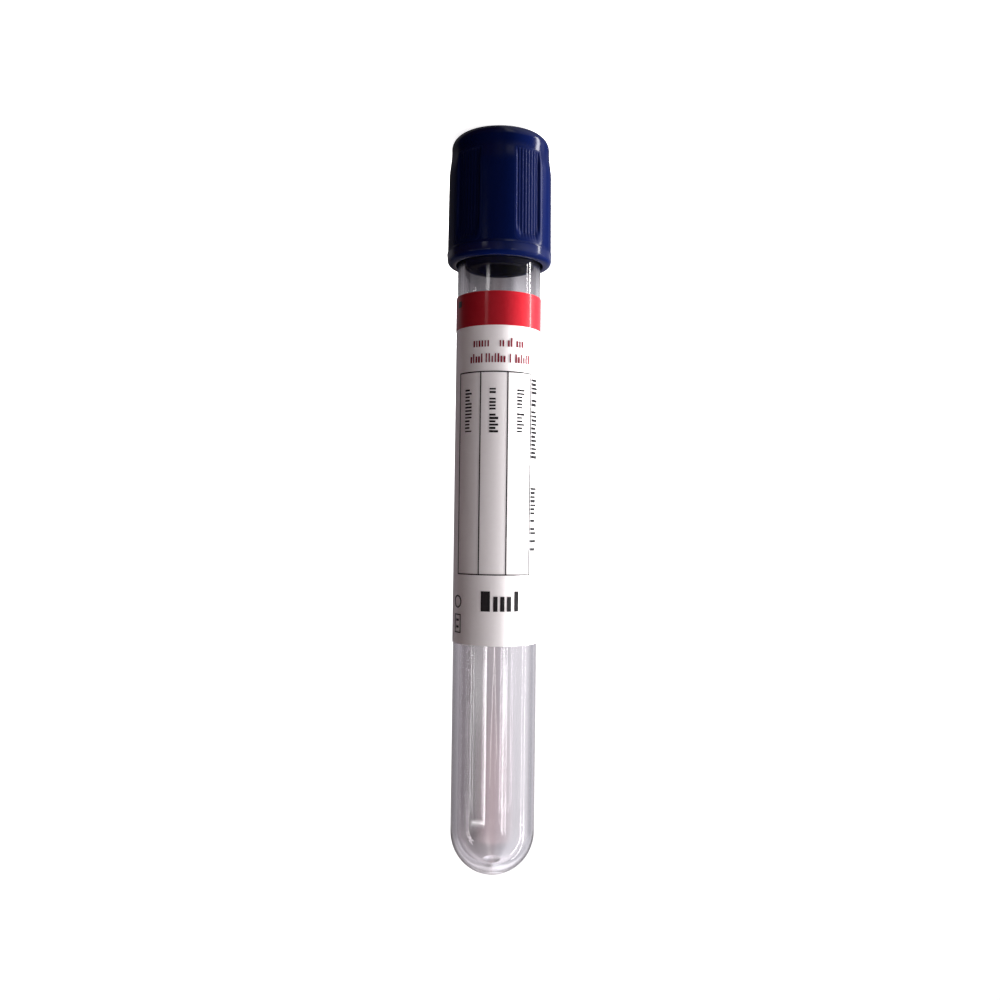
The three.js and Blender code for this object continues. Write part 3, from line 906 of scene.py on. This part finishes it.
# Elevation and the tone's gain there, in front of the part and behind it.
FRONT_HEIGHTS = ((-90, 0.30), (-35, 0.30), (-27, 0.03), (-13.2, 0.03), (-12.4, 0.22), (-4, 0.7), (6, 1.0),
                 (19, 1.0), (32, 0.42), (90, 0.36))
BACK_HEIGHTS = ((-90, 0.5), (-30, 0.4), (-24, 0.2), (-19, 0.10), (-15.5, 0.14), (-13.5, 0.60), (-5, 0.8),
                (6, 1.0), (18, 0.85), (30, 1.15), (90, 1.2))
FRONT_ENDS, BACK_STARTS = 108.0, 132.0
WINDOWS = (
    # centre, width, lowest, highest, softness, lean, brightness, colour
    (94.6, 1.7, 6, 18, 0.3, 0, 8.0, (1.0, 0.99, 0.98)),
    (95, 5, 17, 56, 0.6, 0, 8.5, (1.0, 0.99, 0.98)),
    (95, 3.4, -15.6, 5, 0.4, 0, 30.0, (1.0, 0.98, 0.96)),
    (99.5, 11, -34, -16, 1.5, 0, 13.0, (1.0, 0.985, 1.0)),
    (27.5, 3.2, 7, 18.4, 0.3, 0, 9.5, (1.0, 0.995, 1.0)),
    (36, 3.0, 7, 18.4, 0.3, 0, 6.5, (1.0, 0.995, 1.0)),
    (32.5, 6, 8.5, 12, 1.5, 0, 4.2, (1.0, 0.995, 1.0)),
    (-23.6, 4.2, 7, 17.4, 0.3, 0, 6.2, (1.0, 0.99, 1.0)),
    (-31.5, 9, -14.8, -13.3, 0.5, 0, 2.9, (1.0, 0.98, 0.99)),
    (-31.5, 9, -13.3, -6, 0.5, 0, 1.3, (1.0, 0.98, 0.99)),
    (26, 22, -75, -38, 6.0, 0, 0.8, (1.0, 0.99, 1.0)),
    (-45, 38, 8.5, 12, 2.5, 0, 0.85, (0.92, 1.0, 0.94)),
    (-45, 38, 7, 16.4, 0.8, 0, 0.35, (0.90, 1.0, 0.93)),
    (-42, 40, 17.1, 17.3, 0.15, 0, 6.0, (1.0, 1.0, 1.0)),
    (-64, 1.8, 7, 16.6, 0.3, 0, 10.0, (1.0, 0.99, 1.0)),
    (0, 1.6, 7, 15, 0.5, -1.0, 2.5, (1.0, 0.98, 0.98)),
    (0, 1.6, 7, 13.6, 0.5, 1.6, 4.0, (1.0, 0.98, 0.98)),
    (180, 14, 5, 10.5, 2.5, 0, 0.10, (1.0, 0.98, 1.0)),
    (158.6, 34.6, -14.5, -6, 1.5, 0, 0.36, (1.0, 0.99, 1.03)),
    (-171, 12, -14.5, -6, 1.0, 0, 0.09, (1.0, 0.99, 1.05)),
    (-138, 24, -14.8, -6, 1.0, 0, 0.06, (1.0, 0.99, 1.05)),
    (134, 18, -14.8, -6, 1.0, 0, 0.14, (1.0, 0.99, 1.02)),
    (104, 44, -26, -20, 4.0, 0, 0.40, (1.0, 0.97, 1.05)),
    (-155, 60, 30, 76, 8.0, 0, 0.20, (1.0, 0.95, 1.0)),
    (180, 44, 36, 60, 6.0, 0, 0.45, (1.0, 0.95, 1.0)),
    (-168, 24, 18.5, 34, 3.0, 0, 0.12, (1.0, 0.93, 0.94)),
    (179, 9, 11.5, 24, 3.0, 0, 0.20, (1.0, 0.70, 0.72)),
)


def studio_light():
    """A dim mauve room, bright on one side, with a tall window and a few narrow ones."""
    world = bpy.data.worlds.new("studio_light")
    bpy.context.scene.world = world
    world.use_nodes = True
    tree = world.node_tree
    x, y, z = split(tree, add_node(tree, "ShaderNodeTexCoord").outputs["Generated"])
    azimuth = calc(tree, "DEGREES", calc(tree, "ARCTAN2", calc(tree, "MULTIPLY", x, -1.0),
                                         calc(tree, "MULTIPLY", y, -1.0)))
    elevation = calc(tree, "DEGREES", calc(tree, "ARCSINE", z))
    around = calc(tree, "DIVIDE", calc(tree, "ADD", azimuth, 180.0), 360.0)
    upwards = calc(tree, "DIVIDE", calc(tree, "ADD", elevation, 90.0), 180.0)
    tone = ramp(tree, around, [((each + 180) / 360, colour) for each, colour in ROOM_TONES])
    front, back = (ramp(tree, upwards, [((each + 90) / 180, (value,) * 3) for each, value in heights])
                   for heights in (FRONT_HEIGHTS, BACK_HEIGHTS))
    gain = add_node(tree, "ShaderNodeMix", data_type="RGBA")
    off_front = calc(tree, "ABSOLUTE", azimuth)
    feed(tree, gain.inputs["Factor"], eased(tree, off_front, FRONT_ENDS, BACK_STARTS))
    tree.links.new(front, gain.inputs["A"])
    tree.links.new(back, gain.inputs["B"])
    room = add_node(tree, "ShaderNodeMix", data_type="RGBA", blend_type="MULTIPLY")
    room.inputs["Factor"].default_value = 1.0
    tree.links.new(tone, room.inputs["A"])
    tree.links.new(gain.outputs["Result"], room.inputs["B"])
    background = tree.nodes["Background"]
    tree.links.new(room.outputs["Result"], background.inputs["Color"])
    total = background.outputs[0]
    for *shape, brightness, colour in WINDOWS:
        pane = add_node(tree, "ShaderNodeBackground")
        pane.inputs["Color"].default_value = (*colour, 1)
        inside = soft_window(tree, azimuth, elevation, *shape)
        tree.links.new(calc(tree, "MULTIPLY", inside, brightness), pane.inputs["Strength"])
        both = add_node(tree, "ShaderNodeAddShader")
        tree.links.new(total, both.inputs[0])
        tree.links.new(pane.outputs[0], both.inputs[1])
        total = both.outputs[0]
    tree.links.new(total, tree.nodes["World Output"].inputs["Surface"])


SIDE_LIGHTS = (
    # name, azimuth, distance from the axis, height, height aimed at, width, length, watts, colour
    ("window_light", 103, 0.30, 0.16, 0.055, 0.26, 0.30, 3.4, (1.0, 0.985, 0.975)),
    ("wall_light", 57, 0.30, 0.27, 0.060, 0.30, 0.30, 1.15, (1.0, 0.95, 0.965)),
    ("cap_light", 96, 0.12, -0.03, 0.008, 0.03, 0.04, 0.36, (1.0, 0.99, 1.0)),
)


def soft_light(name, azimuth, reach, height, aim, width, length, energy, colour):
    """An area light that shades the surfaces but isn't mirrored in them. It faces the axis at a height."""
    bearing = math.radians(azimuth)
    place = Vector((-math.sin(bearing) * reach, -math.cos(bearing) * reach, height))
    data = bpy.data.lights.new(name, "AREA")
    data.shape = "RECTANGLE"
    data.size, data.size_y = width, length
    data.energy = energy
    data.color = colour
    light = bpy.data.objects.new(name, data)
    bpy.context.scene.collection.objects.link(light)
    facing = (place - Vector((0, 0, aim))).to_track_quat("Z", "Y").to_matrix().to_4x4()
    light.matrix_world = Matrix.Translation(place) @ facing
    light.visible_glossy = False
    light.visible_transmission = False


def pale_stage():
    """A pale floor that rises in one sweep to a white backdrop. Only the camera sees it."""
    radius, corner = 1.2, 0.5
    profile = [(0, 0)] + [(radius * step / 6, 0) for step in range(1, 7)]
    profile += [(radius + corner * math.sin(math.pi / 2 * step / 8),
                 corner - corner * math.cos(math.pi / 2 * step / 8)) for step in range(1, 9)]
    side = radius + corner
    profile += [(side * math.cos(math.pi / 2 * step / 12), corner + side * math.sin(math.pi / 2 * step / 12))
                for step in range(1, 12)] + [(0, corner + side)]
    mesh = turned("pale_stage", [Vector(each) / MM for each in profile], even_bearings(96))
    mesh.flip_normals()
    floor = new_piece("pale_stage", mesh)
    material, *_ = new_material("pale_stage", **{
        "Base Color": (0.9, 0.9, 0.9, 1), "Roughness": 1.0, "Specular IOR Level": 0.0,
        "Emission Color": (1, 1, 1, 1), "Emission Strength": 0.88})
    mesh.materials.append(material)
    for ray in ("diffuse", "glossy", "transmission", "volume_scatter", "shadow"):
        setattr(floor, "visible_" + ray, False)


CAMERA_PLACE = (-0.000555, -0.14525, 0.058)
CAMERA_PITCH = math.radians(1.36)
CAMERA_ROLL = math.radians(0.72)
SENSOR_WIDTH, LENS = 36, 34.67


def camera_view():
    """Level with the tube's middle and rolled over, so that the cap is up in the picture."""
    forward = Vector((0, math.cos(CAMERA_PITCH), -math.sin(CAMERA_PITCH)))
    level_up = Vector((0, -math.sin(CAMERA_PITCH), -math.cos(CAMERA_PITCH)))
    level_right = forward.cross(level_up)
    right = level_right * math.cos(CAMERA_ROLL) + level_up * math.sin(CAMERA_ROLL)
    up = level_up * math.cos(CAMERA_ROLL) - level_right * math.sin(CAMERA_ROLL)
    data = bpy.data.cameras.new("camera")
    data.sensor_width = SENSOR_WIDTH
    data.lens = LENS
    data.clip_start = 0.002
    data.clip_end = 10
    camera = bpy.data.objects.new("camera", data)
    bpy.context.scene.collection.objects.link(camera)
    turn = Matrix((right, up, -forward)).transposed().to_4x4()
    camera.matrix_world = Matrix.Translation(CAMERA_PLACE) @ turn
    bpy.context.scene.camera = camera


camera_view()
studio_light()
for light in SIDE_LIGHTS:
    soft_light(*light)
pale_stage()
tube_piece()
stopper_piece()
cap_piece()
field = film_tree()
marks = marks_tree()
label_pieces(field)
table_piece()
words_pieces(marks)
side_marks_pieces(marks)
shape_pieces(shapes_tree())
bpy.context.scene.view_settings.view_transform = "Standard"
bpy.context.scene.view_settings.look = "None"
